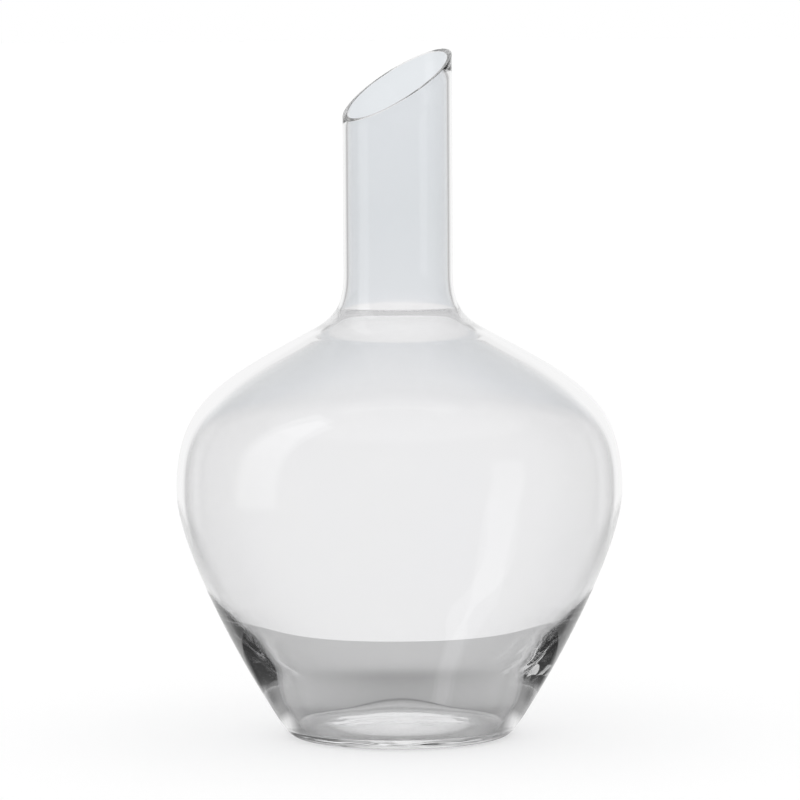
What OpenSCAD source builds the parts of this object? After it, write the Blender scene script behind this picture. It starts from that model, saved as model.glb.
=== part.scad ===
// Wine decanter of clear glass: slanted pouring lip, straight neck, wide bowl, narrow heavy foot.
// The wall is turned about the Z axis. The origin is the middle of the foot on the table, +Z is up
// and the high tip of the lip points along +X.
// The glass is one piece. Its zones are drawn as rings that meet face to face.

/* [Neck and lip] */
// Height of the high tip of the lip above the table
total_h = 280; // [275:1:300]
// Outside diameter of the neck
neck_d = 44.4; // [42:0.2:48]
// Height at which the shoulder has drawn in to the straight neck
neck_z = 189; // [186:1:194]
// Slope of the lip's cut, from level
lip_angle = 33; // [0:1:36]

/* [Bowl] */
// Widest outside diameter
belly_d = 182; // [170:1:190]
// Height of the widest ring above the table
belly_z = 101; // [96:1:106]
// Outside radius where the shoulder turns from bulging out to curving in
turn_r = 40; // [38:0.5:42]
// Height of that turn
turn_z = 163.5; // [161:0.5:166]
// Slope of the shoulder at that turn, from level
turn_angle = 28.5; // [26:0.5:31]

/* [Foot] */
// Diameter at which the flank would meet the table if its corner were sharp
foot_d = 89.6; // [84:0.2:94]
// Radius of the rounded corner of the foot
foot_corner_r = 6; // [5.5:0.5:7.5]
// Lean of the flank at the foot, from upright
flank_angle = 37.5; // [34:0.5:40]
// Radius of the hollow under the foot
punt_r = 34; // [28:1:38]
// Height of the hollow under the foot at its middle
punt_h = 2.5; // [1:0.5:4]

/* [Wall] */
// Wall of the neck
wall_neck = 1.9; // [1.6:0.1:2.4]
// Height at which the thick shoulder has thinned to the neck's wall
neck_thin_z = 176; // [172:0.5:182]
// Wall of the shoulder where it is thickest
wall_shoulder = 5; // [4.4:0.1:5.6]
// Height of that thickest ring
thick_z = 165; // [160:1:168]
// Wall at the widest ring
wall_belly = 3.9; // [3:0.1:5]
// Wall of the flank where it is thinnest
wall_flank = 1; // [1:0.1:2]
// Height of that thinnest ring
thin_z = 61; // [56:1:68]
// Wall of the heel, just above the foot
wall_heel = 5.4; // [5.2:0.1:6.4]
// Height up to which the heel keeps that wall
heel_z = 16; // [10:1:22]
// Height of the inner floor at its edge
floor_z = 5.4; // [4.4:0.1:5.6]
// Rise of the inner floor towards its middle
floor_rise = 1; // [0:0.5:2]

/* [Hidden] */
$fn = 96;
glass = [0.86, 0.9, 0.92, 0.5];

// Outer line of the bowl as three curves, foot to belly, belly to turn and turn to neck.
// The pulls are how far each end keeps its direction.
belly_r = belly_d / 2;
neck_r = neck_d / 2;
flank_dir = [sin(flank_angle), cos(flank_angle)];
turn_dir = [-cos(turn_angle), sin(turn_angle)];
foot_rest_r = foot_d / 2 - foot_corner_r * tan((90 - flank_angle) / 2);
foot_top = [foot_rest_r + foot_corner_r * cos(flank_angle), foot_corner_r * (1 - sin(flank_angle))];
foot_pull = 17.3;
belly_pull_down = 26.3;
belly_pull_up = 34.5;
turn_pull_down = 39.8;
turn_pull_up = 11.5;
neck_pull = 17.3;
flank_curve = [
    foot_top,
    foot_top + foot_pull * flank_dir,
    [belly_r, belly_z - belly_pull_down],
    [belly_r, belly_z]
];
shoulder_curve = [
    [belly_r, belly_z],
    [belly_r, belly_z + belly_pull_up],
    [turn_r, turn_z] - turn_pull_down * turn_dir,
    [turn_r, turn_z]
];
root_curve = [
    [turn_r, turn_z],
    [turn_r, turn_z] + turn_pull_up * turn_dir,
    [neck_r, neck_z - neck_pull],
    [neck_r, neck_z]
];
curves = [flank_curve, shoulder_curve, root_curve];

// Places along the outer line, counted in curves from the foot, where one zone meets the next
heel_end = 0.35;
lower_bowl_end = 0.7;
belly_end = 1.35;
shoulder_end = 2;
root_end = 3;
steps_per_curve = 24;

// Share of the flank's taper that is rounded at each of its ends
taper_round = 0.35;

// The inner floor's rounded edge reaches this far in from the flank
floor_run = 3;
corner_steps = 8;
dome_steps = 12;

// Heights on the neck
lip_rise = neck_r * tan(lip_angle);
lip_mid_z = total_h - lip_rise;
lip_below_cut = 8;
lip_start_z = lip_mid_z - lip_rise - lip_below_cut;

function bezier(p, t) =
    (1 - t) ^ 3 * p[0] + 3 * (1 - t) ^ 2 * t * p[1] + 3 * (1 - t) * t ^ 2 * p[2] + t ^ 3 * p[3];

function bezier_dir(p, t) =
    let (d = (1 - t) ^ 2 * (p[1] - p[0]) + 2 * (1 - t) * t * (p[2] - p[1]) + t ^ 2 * (p[3] - p[2]))
    d / norm(d);

// Share of the way that x has gone from a to b
function share(x, a, b) = min(1, max(0, (x - a) / (b - a)));

// Goes smoothly from 0 to 1 as x goes from a to b
function ease(x, a, b) =
    let (t = share(x, a, b))
    t * t * (3 - 2 * t);

// Goes from 0 to 1 in a straight line that is rounded near both ends
function taper(x, a, b) =
    let (
        t = share(x, a, b),
        near = min(t, 1 - t),
        rise = near < taper_round ? near ^ 2 / (2 * taper_round) : near - taper_round / 2,
        part = rise / (1 - taper_round)
    )
    t < 0.5 ? part : 1 - part;

// Wall at a height: thick at the heel, thinnest on the flank, thick again at the shoulder
function wall(z) =
    wall_heel
    + (wall_flank - wall_heel) * taper(z, heel_z, thin_z)
    + (wall_belly - wall_flank) * ease(z, thin_z, belly_z)
    + (wall_shoulder - wall_belly) * share(z, belly_z, thick_z) ^ 2
    + (wall_neck - wall_shoulder) * ease(z, thick_z, neck_thin_z);

function curve_at(u) = curves[min(floor(u), len(curves) - 1)];
function along(u) = u - min(floor(u), len(curves) - 1);
function outside(u) = bezier(curve_at(u), along(u));

// The inside face stands off the outside face by the wall, square to it
function inside(u) =
    let (p = outside(u), d = bezier_dir(curve_at(u), along(u)))
    p + wall(p[1]) * [-d[1], d[0]];

// Even steps along the outer line between two places on it
function stations(u0, u1) =
    let (n = ceil((u1 - u0) * steps_per_curve))
    [for (i = [0 : n]) u0 + (u1 - u0) * i / n];

function backwards(list) = [for (i = [len(list) - 1 : -1 : 0]) list[i]];

// One ring of the wall between two places on the outer line
module wall_ring(u0, u1) {
    u = stations(u0, u1);
    rotate_extrude()
        polygon(concat([for (v = u) outside(v)], backwards([for (v = u) inside(v)])));
}

// The straight wall of the neck between two heights
module tube(z0, z1) {
    rotate_extrude()
        translate([neck_r - wall_neck, z0])
            square([wall_neck, z1 - z0]);
}

// Half outline of a low dome that leaves the level smoothly, from its middle to its edge
function dome(edge_r, rise, level) =
    [for (i = [0 : dome_steps])
        let (r = edge_r * i / dome_steps)
        [r, level + rise * (1 - ease(r, 0, edge_r))]];

// Foot, floor and the shallow hollow underneath
module base() {
    floor_corner = inside(0) - (inside(0)[1] - floor_z) / flank_dir[1] * flank_dir;
    floor_edge = floor_corner - [floor_run, 0];
    floor_bend = [inside(0), floor_corner, floor_corner, floor_edge];
    foot_corner = [for (i = [0 : corner_steps])
        let (a = -90 + (90 - flank_angle) * i / corner_steps)
        [foot_rest_r, foot_corner_r] + foot_corner_r * [cos(a), sin(a)]];
    color(glass)
        rotate_extrude()
            polygon(concat(
                dome(punt_r, punt_h, 0),
                foot_corner,
                [for (i = [0 : corner_steps - 1]) bezier(floor_bend, i / corner_steps)],
                backwards(dome(floor_edge[0], floor_rise, floor_z))
            ));
}

module heel() {
    color(glass)
        wall_ring(0, heel_end);
}

module lower_bowl() {
    color(glass)
        wall_ring(heel_end, lower_bowl_end);
}

module belly() {
    color(glass)
        wall_ring(lower_bowl_end, belly_end);
}

module shoulder() {
    color(glass)
        wall_ring(belly_end, shoulder_end);
}

module neck_root() {
    color(glass)
        wall_ring(shoulder_end, root_end);
}

module neck() {
    color(glass)
        tube(neck_z, lip_start_z);
}

// The neck's end, cut on the slant
module lip() {
    color(glass)
        difference() {
            tube(lip_start_z, total_h);
            translate([0, 0, lip_mid_z])
                rotate([0, -lip_angle, 0])
                    translate([-neck_d, -neck_d, 0])
                        cube([2 * neck_d, 2 * neck_d, 2 * neck_d]);
        }
}

base();
heel();
lower_bowl();
belly();
shoulder();
neck_root();
neck();
lip();
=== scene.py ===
import math

import bpy
from mathutils import Matrix, Vector


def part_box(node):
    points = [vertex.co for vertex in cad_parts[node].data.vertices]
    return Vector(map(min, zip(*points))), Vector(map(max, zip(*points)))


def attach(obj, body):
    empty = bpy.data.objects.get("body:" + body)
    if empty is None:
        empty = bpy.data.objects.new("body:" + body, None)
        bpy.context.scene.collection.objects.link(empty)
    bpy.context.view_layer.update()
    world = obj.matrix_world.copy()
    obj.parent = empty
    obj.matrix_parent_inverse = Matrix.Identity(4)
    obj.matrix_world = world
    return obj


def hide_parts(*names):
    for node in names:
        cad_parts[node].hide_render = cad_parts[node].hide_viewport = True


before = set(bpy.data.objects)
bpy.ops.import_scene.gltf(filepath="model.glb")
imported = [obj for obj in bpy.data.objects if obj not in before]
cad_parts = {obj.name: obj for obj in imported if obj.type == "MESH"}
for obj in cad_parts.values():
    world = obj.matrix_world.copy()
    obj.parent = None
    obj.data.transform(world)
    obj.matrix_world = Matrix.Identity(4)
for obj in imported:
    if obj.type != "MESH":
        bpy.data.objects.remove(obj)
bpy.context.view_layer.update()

MM = 0.001

# Sizes of the glass that the frame gives, in metres
TOP_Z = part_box("lip")[1].z
NECK_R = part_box("neck")[1].x
NECK_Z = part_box("neck")[0].z
BELLY_R = -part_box("belly")[0].x
TURN_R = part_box("neck_root")[1].x

# Outer line: heights, slopes and how far each curve keeps its direction at its ends
BELLY_Z = 101 * MM
TURN_Z = 163.5 * MM
TURN_ANGLE = math.radians(28.5)
FOOT_R = 44.8 * MM
FOOT_CORNER_R = 6 * MM
FLANK_ANGLE = math.radians(37.5)
FOOT_PULL = 17.3 * MM
BELLY_PULL_DOWN = 26.3 * MM
BELLY_PULL_UP = 34.5 * MM
TURN_PULL_DOWN = 39.8 * MM
TURN_PULL_UP = 11.5 * MM
NECK_PULL = 17.3 * MM

# Hollow under the foot, and the inner floor
PUNT_R = 34 * MM
PUNT_H = 2.5 * MM
FLOOR_Z = 5.4 * MM
FLOOR_RISE = 1 * MM
FLOOR_RUN = 3 * MM

# Faint waves of the blown floor: how high and how far out they reach, and for each wave its radians per
# millimetre along X, the same along Y, and its start
RIPPLE = 0.05 * MM
RIPPLE_REACH = 38 * MM
RIPPLE_WAVES = ((0.36, 0.14, 0.4), (-0.2, 0.5, 1.9), (0.22, 0.32, 3.1))

# Wall: thick at the heel, thinnest on the flank, thick again at the shoulder
WALL_HEEL = 5.4 * MM
HEEL_Z = 16 * MM
WALL_FLANK = 1.0 * MM
THIN_Z = 61 * MM
TAPER_ROUND = 0.35
WALL_BELLY = 3.9 * MM
WALL_SHOULDER = 5 * MM
THICK_Z = 165 * MM
NECK_THIN_Z = 176 * MM
WALL_NECK = 1.9 * MM

# Slanted lip
LIP_SLOPE = math.tan(math.radians(33))
LIP_MID_Z = TOP_Z - NECK_R * LIP_SLOPE
RIM_EDGE_R = 0.3 * MM

# Fineness of the glass mesh
SEGMENTS = 208
CURVE_STEPS = 56
CORNER_STEPS = 14
DOME_STEPS = 24
NECK_STEPS = 16
RIM_STEPS = 6

# Glass: how far it bends light, the faint streaks that blowing leaves, drawn out along its height, and its
# slight tint
GLASS_IOR = 1.52
STRIAE_SCALE = (90, 90, 14)
STRIAE_DETAIL = 1.0
STRIAE_DEPTH = 0.002 * MM
CLOUD_SCALE = 25
CLOUD_DETAIL = 2.0
GLASS_PALE = (0.991, 0.991, 1.0, 1)
GLASS_CLEAR = (1, 1, 1, 1)
LIGHT_BOUNCES = 128

# Camera, in metres: the tip of the lip is to the right, away from it
CAMERA_AZIMUTH = math.radians(-30)
CAMERA_DISTANCE = 1.9383
CAMERA_HEIGHT = 0.3017
CAMERA_AIM_Z = 0.1372
CAMERA_SIDE = 0.44 * MM
CAMERA_ROLL = math.radians(-0.33)
CAMERA_REACH = 100
FOCAL_PIXELS = 4771
IMAGE_PIXELS = 800
SENSOR_MM = 36
AHEAD = Vector((-math.sin(CAMERA_AZIMUTH), math.cos(CAMERA_AZIMUTH), 0))
RIGHT = Vector((math.cos(CAMERA_AZIMUTH), math.sin(CAMERA_AZIMUTH), 0))

# Room that the glass mirrors, with its tones by degrees to either side of straight ahead of the camera and by
# degrees up from level, and the sky where it shows straight through the glass
ROOM_SIDE = (
    (28, 0.93), (34, 0.45), (48, 0.5), (60, 0.3), (68, 0.14), (80, 0.09), (90, 0.07), (130, 0.04), (180, 0.0),
)
ROOM_ROUND = (*((-place, tone) for place, tone in reversed(ROOM_SIDE)), *ROOM_SIDE)
ROOM_UP = (
    (-90, 0.7), (-30, 0.75), (-14, 0.8), (-9, 1.0), (18, 1.0), (26, 0.65), (40, 0.3), (50, 0.1), (90, 0.05),
)
SKY_UP = ((-90, 1.0), (30, 1.0), (60, 0.7), (90, 0.6))

# Lamps of that room, by degrees round and by degrees up: a bright back wall, a ceiling, and a window to the
# left. The window has its own place for the front of the bowl, for its back, and for light mirrored often.
WALL_LAMP = (
    ((-180, 0), (-16, 0), (-13, 0.95), (13, 0.95), (16, 0), (180, 0)),
    ((-90, 0), (15, 0), (19, 1), (46, 1), (52, 0), (90, 0)),
)
CEILING = (
    ((-180, 0), (-95, 0), (-85, 0.95), (85, 0.95), (95, 0), (180, 0)),
    ((-90, 0), (34, 0), (40, 1), (90, 1)),
)
WINDOW_UP = ((-90, 0), (-7.3, 0), (-7, 0.5), (15, 0.7), (35, 1.0), (64, 1.0), (64.3, 0), (90, 0))
WINDOW_FRONT = (
    ((-180, 0), (-114, 0), (-113.7, 0.8), (-86.3, 0.8), (-86, 0), (180, 0)),
    WINDOW_UP,
)
WINDOW_BACK = (
    ((-180, 0), (-128, 0), (-127.7, 0.8), (-106.3, 0.8), (-106, 0), (180, 0)),
    WINDOW_UP,
)
WINDOW_OFTEN = (
    ((-180, 0), (-118, 0), (-117.7, 0.8), (-91.3, 0.8), (-91, 0), (180, 0)),
    ((-90, 0), (5, 0), (6, 1), (70, 1), (75, 0), (90, 0)),
)

# Screen round the glass, glowing, with its tones by millimetres of height: painted shade, darker and bluer
# between 136 and 600 mm
SCREEN_R = 300 * MM
SCREEN_PAINTED_SHADE = (
    (-300, 1.0), (136, 1.0), (146, (0.95, 0.955, 0.96)), (155, (0.89, 0.91, 0.93)),
    (165, (0.86, 0.885, 0.905)), (200, (0.83, 0.86, 0.88)), (230, (0.845, 0.875, 0.9)),
    (265, (0.87, 0.9, 0.925)), (330, 0.95), (600, 1.0),
)

# Table top where it shows straight through the glass, by millimetres from its middle, in painted light and
# shade:
# grey, lighter in its middle as painted light, a painted shadow ring under the foot, and painted shade near
# the foot
TABLE_GREY_PAINTED_LIGHT_AND_SHADOW = (
    (0, 0.8), (12, 0.68), (20, 0.6), (26, 0.4), (29, 0.05), (40.5, 0.06), (43, 0.3), (46, 0.22),
    (55, 0.33), (63, 0.42), (66, 0.47), (70, 0.53), (73, 0.58), (79, 0.62), (90, 0.645), (128, 0.65),
)

# The same table where the glass mirrors it, all painted light and shade: by the share of a point's direction
# that is straight ahead (painted light beyond the glass, dark before it), by millimetres from its middle
# (painted shadow under the foot and a painted ring of light round it), by millimetres ahead of its middle
# (painted shadow before the foot), and evenly for light mirrored at the back
TABLE_PAINTED_BACK_LIGHT = ((-1, 0.02), (0.45, 0.04), (0.75, 0.78), (1, 0.8))
TABLE_PAINTED_FOOT_SHADOW_AND_RING = (
    (0, 0.0), (40, 0.02), (42, 0.9), (54, 0.8), (60, 0.35), (66, 0.33), (72, 0.18), (82, 0.03), (128, 0.0),
)
TABLE_PAINTED_FRONT_SHADOW = ((-128, 0.3), (-14, 0.35), (-2, 1.0), (128, 1.0))
TABLE_BACK = 0.3

# White floor under the table: its radius in metres, how far both lie below the foot, the light on the floor,
# and how much of the shadow that the glass throws is kept
FLOOR_R = 30
FLOOR_DROP = 0.05 * MM
TABLE_DROP = 0.02 * MM
FLOOR_WHITE = 1.0
FLOOR_LIGHT = 1.02
SHADE = 0.6
RING_SIDES = 128

# Limits on how often light was mirrored, bent or scattered, each halfway between two whole counts
NEVER = 0.5
ONCE = 1.5
TWICE = 2.5

# Sockets of a Mix node that carry colours
MIX_SHARE, MIX_A, MIX_B, MIX_RESULT = 0, 6, 7, 2


def bezier(p, t):
    s = 1 - t
    return s ** 3 * p[0] + 3 * s * s * t * p[1] + 3 * s * t * t * p[2] + t ** 3 * p[3]


def bezier_dir(p, t):
    s = 1 - t
    d = s * s * (p[1] - p[0]) + 2 * s * t * (p[2] - p[1]) + t * t * (p[3] - p[2])
    return d.normalized()


def share_of(x, a, b):
    """Share of the way that x has gone from a to b."""
    return min(1, max(0, (x - a) / (b - a)))


def ease(x, a, b):
    """Goes smoothly from 0 to 1 as x goes from a to b."""
    t = share_of(x, a, b)
    return t * t * (3 - 2 * t)


def taper(x, a, b):
    """Goes from 0 to 1 in a straight line that is rounded near both ends."""
    t = share_of(x, a, b)
    near = min(t, 1 - t)
    rise = near ** 2 / (2 * TAPER_ROUND) if near < TAPER_ROUND else near - TAPER_ROUND / 2
    rise /= 1 - TAPER_ROUND
    return rise if t < 0.5 else 1 - rise


def wall_at(z):
    """Wall of the glass at a height."""
    return (
        WALL_HEEL
        + (WALL_FLANK - WALL_HEEL) * taper(z, HEEL_Z, THIN_Z)
        + (WALL_BELLY - WALL_FLANK) * ease(z, THIN_Z, BELLY_Z)
        + (WALL_SHOULDER - WALL_BELLY) * share_of(z, BELLY_Z, THICK_Z) ** 2
        + (WALL_NECK - WALL_SHOULDER) * ease(z, THICK_Z, NECK_THIN_Z)
    )


def arc(middle, radius, start, end, steps):
    turns = [start + (end - start) * i / steps for i in range(steps + 1)]
    return [middle + radius * Vector((math.cos(a), math.sin(a))) for a in turns]


def dome(edge_r, rise, level):
    """A low dome from its middle, which is left out, to its edge."""
    radii = [edge_r * i / DOME_STEPS for i in range(1, DOME_STEPS + 1)]
    return [Vector((r, level + rise * (1 - ease(r, 0, edge_r)))) for r in radii]


def outer_curves():
    """The flank, shoulder and neck root as three curves of radius and height."""
    flank_dir = Vector((math.sin(FLANK_ANGLE), math.cos(FLANK_ANGLE)))
    turn_dir = Vector((-math.cos(TURN_ANGLE), math.sin(TURN_ANGLE)))
    rest_r = FOOT_R - FOOT_CORNER_R * math.tan((math.pi / 2 - FLANK_ANGLE) / 2)
    foot_r = rest_r + FOOT_CORNER_R * math.cos(FLANK_ANGLE)
    foot = Vector((foot_r, FOOT_CORNER_R * (1 - math.sin(FLANK_ANGLE))))
    belly = Vector((BELLY_R, BELLY_Z))
    turn = Vector((TURN_R, TURN_Z))
    neck = Vector((NECK_R, NECK_Z))
    up = Vector((0, 1))
    return [
        [foot, foot + FOOT_PULL * flank_dir, belly - BELLY_PULL_DOWN * up, belly],
        [belly, belly + BELLY_PULL_UP * up, turn - TURN_PULL_DOWN * turn_dir, turn],
        [turn, turn + TURN_PULL_UP * turn_dir, neck - NECK_PULL * up, neck],
    ]


def wall_lines(curves):
    """Points up the outside face, and up the inside face, which stands off it by the wall, square to it."""
    outside, inside = [], []
    for curve in curves:
        for i in range(CURVE_STEPS):
            p = bezier(curve, i / CURVE_STEPS)
            d = bezier_dir(curve, i / CURVE_STEPS)
            outside.append(p)
            inside.append(p + wall_at(p.y) * Vector((-d.y, d.x)))
    return outside, inside


def foot_outline(flank_start):
    """From the middle of the hollow under the foot to its edge, and round the corner of the foot."""
    middle = Vector((flank_start.x - FOOT_CORNER_R * math.cos(FLANK_ANGLE), FOOT_CORNER_R))
    corner = arc(middle, FOOT_CORNER_R, -math.pi / 2, -FLANK_ANGLE, CORNER_STEPS)
    return dome(PUNT_R, PUNT_H, 0) + corner[:-1]


def neck_outline():
    """Up the outside of the neck, over the rim with its rounded edges, and down the inside."""
    inner_r = NECK_R - WALL_NECK
    edge_z = LIP_MID_Z - RIM_EDGE_R
    heights = [NECK_Z + (edge_z - NECK_Z) * i / NECK_STEPS for i in range(NECK_STEPS)]
    return (
        [Vector((NECK_R, z)) for z in heights]
        + arc(Vector((NECK_R - RIM_EDGE_R, edge_z)), RIM_EDGE_R, 0, math.pi / 2, RIM_STEPS)
        + arc(Vector((inner_r + RIM_EDGE_R, edge_z)), RIM_EDGE_R, math.pi / 2, math.pi, RIM_STEPS)
        + [Vector((inner_r, z)) for z in reversed(heights)]
    )


def floor_outline(flank_end, flank_dir):
    """From the low end of the inside face, round the floor's edge and along the floor to its middle."""
    corner = flank_end - (flank_end.y - FLOOR_Z) / flank_dir.y * flank_dir
    edge = corner - Vector((FLOOR_RUN, 0))
    bend = [flank_end, corner, corner, edge]
    rounded = [bezier(bend, i / CORNER_STEPS) for i in range(1, CORNER_STEPS)]
    return rounded + dome(edge.x, FLOOR_RISE, FLOOR_Z)[::-1]


def glass_outline():
    """Half outline of the glass, from under the foot up the outside, and down the inside to the floor."""
    curves = outer_curves()
    outside, inside = wall_lines(curves)
    return (
        foot_outline(curves[0][0])
        + outside
        + neck_outline()
        + inside[::-1]
        + floor_outline(inside[0], bezier_dir(curves[0], 0))
    )


def lip_share(r, z):
    """How far a ring follows the slant of the lip: not at all below the neck, fully at the rim."""
    if r > NECK_R + RIM_EDGE_R:
        return 0
    start = NECK_Z + (LIP_MID_Z - NECK_Z) / 2
    return share_of(z, start, LIP_MID_Z - RIM_EDGE_R)


def ripple(x, y):
    """Faint waves of the blown floor, which die out towards its edge."""
    edge = 1 - (x * x + y * y) / RIPPLE_REACH ** 2
    return RIPPLE * edge * sum(math.sin(a * x / MM + b * y / MM + c) for a, b, c in RIPPLE_WAVES)


def glass_mesh():
    """The outline turned about the axis, with the lip on its slant and the floor rippled."""
    rings = glass_outline()
    verts, faces = [], []
    for i, p in enumerate(rings):
        share = lip_share(p.x, p.y)
        for k in range(SEGMENTS):
            a = 2 * math.pi * k / SEGMENTS
            x, y = p.x * math.cos(a), p.x * math.sin(a)
            wave = ripple(x, y) if i > len(rings) - DOME_STEPS else 0
            verts.append((x, y, p.y + share * LIP_SLOPE * x + wave))
    last = (len(rings) - 1) * SEGMENTS
    under, floor = len(verts), len(verts) + 1
    verts += [(0, 0, PUNT_H), (0, 0, FLOOR_Z + FLOOR_RISE + ripple(0, 0))]
    for k in range(SEGMENTS):
        n = (k + 1) % SEGMENTS
        faces.append((under, n, k))
        faces.append((floor, last + k, last + n))
        for i in range(0, last, SEGMENTS):
            faces.append((i + k, i + n, i + SEGMENTS + n, i + SEGMENTS + k))
    mesh = bpy.data.meshes.new("decanter_glass")
    mesh.from_pydata(verts, [], faces)
    mesh.polygons.foreach_set("use_smooth", [True] * len(mesh.polygons))
    mesh.update()
    return mesh


def new_tree(data):
    data.use_nodes = True
    data.node_tree.nodes.clear()
    return data.node_tree


def set_socket(tree, socket, value):
    if isinstance(value, bpy.types.NodeSocket):
        tree.links.new(value, socket)
    else:
        socket.default_value = value


def add(tree, kind, **inputs):
    """A new node with its input sockets set or linked, by name or, as i0 or i1, by number."""
    node = tree.nodes.new(kind)
    for name, value in inputs.items():
        by_number = name[0] == "i" and name[1:].isdigit()
        set_socket(tree, node.inputs[int(name[1:]) if by_number else name], value)
    return node


def calc(tree, operation, *values):
    node = add(tree, "ShaderNodeMath", **{f"i{i}": v for i, v in enumerate(values)})
    node.operation = operation
    return node.outputs[0]


def blend(tree, share, a, b, mode="MIX"):
    node = add(tree, "ShaderNodeMix")
    node.data_type = "RGBA"
    node.blend_type = mode
    for index, value in ((MIX_SHARE, share), (MIX_A, a), (MIX_B, b)):
        set_socket(tree, node.inputs[index], value)
    return node.outputs[MIX_RESULT]


def grey(level):
    """A level of grey, or a colour, with its alpha."""
    return (level, level, level, 1) if isinstance(level, (int, float)) else (*level, 1)


def ramp(tree, value, stops):
    """Colour read off a list of (place, level or colour) as value goes from the first place to the last."""
    first, last = stops[0][0], stops[-1][0]
    share = calc(tree, "DIVIDE", calc(tree, "SUBTRACT", value, first), last - first)
    node = add(tree, "ShaderNodeValToRGB", Fac=share)
    points = node.color_ramp.elements
    while len(points) < len(stops):
        points.new(1)
    for point, (place, level) in zip(points, stops):
        point.position = (place - first) / (last - first)
        point.color = grey(level)
    return node.outputs[0]


def glass_material():
    material = bpy.data.materials.new("clear_glass")
    tree = new_tree(material)
    place = add(tree, "ShaderNodeTexCoord").outputs["Object"]
    drawn = add(tree, "ShaderNodeMapping", Vector=place, Scale=STRIAE_SCALE)
    striae = add(tree, "ShaderNodeTexNoise", Vector=drawn.outputs[0], Scale=1.0, Detail=STRIAE_DETAIL)
    waves = add(tree, "ShaderNodeBump", Strength=1.0, Distance=STRIAE_DEPTH, Height=striae.outputs[0])
    clouds = add(tree, "ShaderNodeTexNoise", Vector=place, Scale=CLOUD_SCALE, Detail=CLOUD_DETAIL)
    tint = blend(tree, clouds.outputs[0], GLASS_PALE, GLASS_CLEAR)
    surface = add(tree, "ShaderNodeBsdfPrincipled", IOR=GLASS_IOR, Roughness=0.0, Normal=waves.outputs[0])
    tree.links.new(tint, surface.inputs["Base Color"])
    surface.inputs["Transmission Weight"].default_value = 1
    add(tree, "ShaderNodeOutputMaterial", Surface=surface.outputs[0])
    return material


def ray_count(tree, kind, comparison, limit):
    """1 on light whose count of a kind compares so with the limit, else 0."""
    path = add(tree, "ShaderNodeLightPath")
    return calc(tree, comparison, path.outputs[kind], limit)


def mirrored_ray(tree):
    """1 on light that the glass has mirrored on its way, 0 on light that went straight through it."""
    return ray_count(tree, "Glossy Depth", "GREATER_THAN", NEVER)


def mirrored_once(tree, comparison):
    """1 on light mirrored at most once: LESS_THAN at the front of the glass, GREATER_THAN deeper in it."""
    once = ray_count(tree, "Glossy Depth", "LESS_THAN", ONCE)
    return calc(tree, "MULTIPLY", once, ray_count(tree, "Transmission Depth", comparison, TWICE))


def lighter_shade(tree, tone):
    """Brings a tone near white for light that the floor gets through the glass, to keep the shadow light."""
    to_floor = ray_count(tree, "Diffuse Depth", "GREATER_THAN", NEVER)
    return blend(tree, calc(tree, "MULTIPLY", to_floor, 1 - SHADE), tone, grey(1.0))


def room_tone(tree, turned, up):
    """Tone of the room and its lamps where the glass mirrors them."""
    often = ray_count(tree, "Glossy Depth", "GREATER_THAN", TWICE)
    deep = ray_count(tree, "Transmission Depth", "GREATER_THAN", TWICE)
    lamps = (
        (WALL_LAMP, 1.0),
        (WINDOW_OFTEN, often),
        (WINDOW_FRONT, mirrored_once(tree, "LESS_THAN")),
        (WINDOW_BACK, mirrored_once(tree, "GREATER_THAN")),
        (CEILING, calc(tree, "MULTIPLY", often, deep)),
    )
    tone = blend(tree, 1.0, ramp(tree, turned, ROOM_ROUND), ramp(tree, up, ROOM_UP), "MULTIPLY")
    for (lamp_round, lamp_up), shown in lamps:
        lamp = blend(tree, 1.0, ramp(tree, turned, lamp_round), ramp(tree, up, lamp_up), "MULTIPLY")
        tone = blend(tree, shown, tone, lamp, "LIGHTEN")
    return tone


def studio_world():
    """White for the camera, even light on the floor, and the room and the sky in the glass."""
    world = bpy.data.worlds.new("studio")
    bpy.context.scene.world = world
    tree = new_tree(world)
    place = add(tree, "ShaderNodeTexCoord").outputs["Generated"]
    axes = add(tree, "ShaderNodeSeparateXYZ", Vector=place)
    bearing = calc(tree, "DEGREES", calc(tree, "ARCTAN2", axes.outputs["X"], axes.outputs["Y"]))
    turned = calc(tree, "WRAP", calc(tree, "ADD", bearing, math.degrees(CAMERA_AZIMUTH)), 180, -180)
    up = calc(tree, "DEGREES", calc(tree, "ARCSINE", axes.outputs["Z"]))
    in_glass = blend(tree, mirrored_ray(tree), ramp(tree, up, SKY_UP), room_tone(tree, turned, up))
    path = add(tree, "ShaderNodeLightPath")
    lit = blend(tree, path.outputs["Is Diffuse Ray"], lighter_shade(tree, in_glass), grey(FLOOR_LIGHT))
    tone = blend(tree, path.outputs["Is Camera Ray"], lit, grey(1.0))
    background = add(tree, "ShaderNodeBackground", Color=tone)
    add(tree, "ShaderNodeOutputWorld", Surface=background.outputs[0])


def floor_material():
    material = bpy.data.materials.new("pale_floor")
    tree = new_tree(material)
    white = add(tree, "ShaderNodeBsdfDiffuse", Color=grey(FLOOR_WHITE))
    add(tree, "ShaderNodeOutputMaterial", Surface=white.outputs[0])
    return material


def painted_mirrored_table(tree, radius, depth):
    """Tone of the table where the glass mirrors it: painted light beyond the glass, painted shadow under and
    before the foot and a painted ring of light round it.
    """
    # Painted light on the table beyond the glass, dark before it
    ahead = ramp(tree, calc(tree, "DIVIDE", depth, radius), TABLE_PAINTED_BACK_LIGHT)
    # Painted shadow before and under the foot, and a painted ring of light round it
    painted_front_shadow = ramp(tree, depth, TABLE_PAINTED_FRONT_SHADOW)
    near = blend(tree, 1.0, ramp(tree, radius, TABLE_PAINTED_FOOT_SHADOW_AND_RING), painted_front_shadow, "MULTIPLY")
    tone = blend(tree, 1.0, ahead, near, "LIGHTEN")
    return blend(tree, mirrored_once(tree, "GREATER_THAN"), tone, grey(TABLE_BACK))


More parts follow.
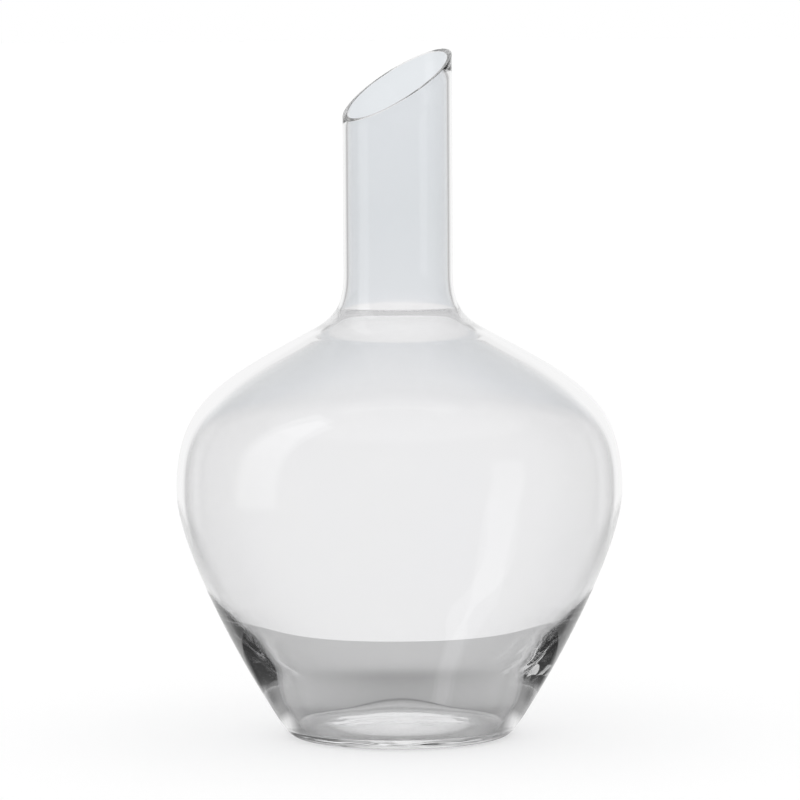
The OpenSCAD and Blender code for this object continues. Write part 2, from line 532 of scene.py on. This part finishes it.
def painted_table_material():
    material = bpy.data.materials.new("table_with_painted_shade")
    tree = new_tree(material)
    place = add(tree, "ShaderNodeNewGeometry").outputs["Position"]
    away = add(tree, "ShaderNodeVectorMath", i0=place)
    away.operation = "LENGTH"
    radius = calc(tree, "DIVIDE", away.outputs["Value"], MM)
    ahead = add(tree, "ShaderNodeVectorMath", i0=place, i1=AHEAD / MM)
    ahead.operation = "DOT_PRODUCT"
    mirrored = painted_mirrored_table(tree, radius, ahead.outputs["Value"])
    # The table glows with painted light and shadow, straight through the glass or mirrored
    tone = blend(tree, mirrored_ray(tree), ramp(tree, radius, TABLE_GREY_PAINTED_LIGHT_AND_SHADOW), mirrored)
    glow = add(tree, "ShaderNodeEmission", Color=lighter_shade(tree, tone))
    add(tree, "ShaderNodeOutputMaterial", Surface=glow.outputs[0])
    return material


def painted_screen_material():
    """Glowing screen with painted shade by height that shows straight through the glass, and is clear to
    mirrored light.
    """
    material = bpy.data.materials.new("screen_with_painted_shade")
    tree = new_tree(material)
    place = add(tree, "ShaderNodeNewGeometry").outputs["Position"]
    axes = add(tree, "ShaderNodeSeparateXYZ", Vector=place)
    height = calc(tree, "DIVIDE", axes.outputs["Z"], MM)
    # The screen glows with painted shade, darker and bluer by height
    glow = add(tree, "ShaderNodeEmission", Color=lighter_shade(tree, ramp(tree, height, SCREEN_PAINTED_SHADE)))
    clear = add(tree, "ShaderNodeBsdfTransparent")
    mix = add(tree, "ShaderNodeMixShader", i0=mirrored_ray(tree), i1=glow.outputs[0], i2=clear.outputs[0])
    add(tree, "ShaderNodeOutputMaterial", Surface=mix.outputs[0])
    return material


def circle(radius, z):
    turns = [2 * math.pi * k / RING_SIDES for k in range(RING_SIDES)]
    return [(radius * math.cos(a), radius * math.sin(a), z) for a in turns]


def stage_piece(name, verts, faces, material):
    mesh = bpy.data.meshes.new(name)
    mesh.from_pydata(verts, [], faces)
    mesh.materials.append(material)
    piece = bpy.data.objects.new(name, mesh)
    bpy.context.scene.collection.objects.link(piece)
    return piece


def only_in_glass(piece):
    piece.visible_camera = False
    piece.visible_diffuse = False
    piece.visible_shadow = False


def add_floor():
    """A white floor for the camera, and the grey table top that the glass shows, a glowing disc with painted
    light and shadow.
    """
    disc = [range(RING_SIDES)]
    floor = stage_piece("floor", circle(FLOOR_R, -FLOOR_DROP), disc, floor_material())
    floor.visible_transmission = False
    floor.visible_glossy = False
    table_r = TABLE_GREY_PAINTED_LIGHT_AND_SHADOW[-1][0] * MM
    table = stage_piece("table", circle(table_r, -TABLE_DROP), disc, painted_table_material())
    only_in_glass(table)


def add_screen():
    low, high = SCREEN_PAINTED_SHADE[0][0] * MM, SCREEN_PAINTED_SHADE[-1][0] * MM
    verts = circle(SCREEN_R, low) + circle(SCREEN_R, high)
    faces = []
    for k in range(RING_SIDES):
        n = (k + 1) % RING_SIDES
        faces.append((k, n, n + RING_SIDES, k + RING_SIDES))
    screen = stage_piece("screen", verts, faces, painted_screen_material())
    only_in_glass(screen)


def add_camera():
    data = bpy.data.cameras.new("camera")
    data.sensor_width = SENSOR_MM
    data.lens = FOCAL_PIXELS / IMAGE_PIXELS * SENSOR_MM
    data.clip_end = CAMERA_REACH
    camera = bpy.data.objects.new("camera", data)
    bpy.context.scene.collection.objects.link(camera)
    aim = Vector((0, 0, CAMERA_AIM_Z)) + CAMERA_SIDE * RIGHT
    place = Vector((0, 0, CAMERA_HEIGHT)) - CAMERA_DISTANCE * AHEAD + CAMERA_SIDE * RIGHT
    turn = (aim - place).to_track_quat("-Z", "Y").to_matrix().to_4x4()
    camera.matrix_world = Matrix.Translation(place) @ turn @ Matrix.Rotation(CAMERA_ROLL, 4, "Z")
    bpy.context.scene.camera = camera


def set_render():
    scene = bpy.context.scene
    scene.view_settings.view_transform = "Standard"
    scene.cycles.max_bounces = LIGHT_BOUNCES
    scene.cycles.transmission_bounces = LIGHT_BOUNCES
    scene.cycles.glossy_bounces = LIGHT_BOUNCES
    scene.cycles.caustics_reflective = True
    scene.cycles.caustics_refractive = True
    scene.cycles.blur_glossy = 0


add_camera()
glass = bpy.data.objects.new("decanter_glass", glass_mesh())
bpy.context.scene.collection.objects.link(glass)
glass.data.materials.append(glass_material())
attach(glass, "root")
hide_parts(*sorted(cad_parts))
studio_world()
add_floor()
add_screen()
set_render()
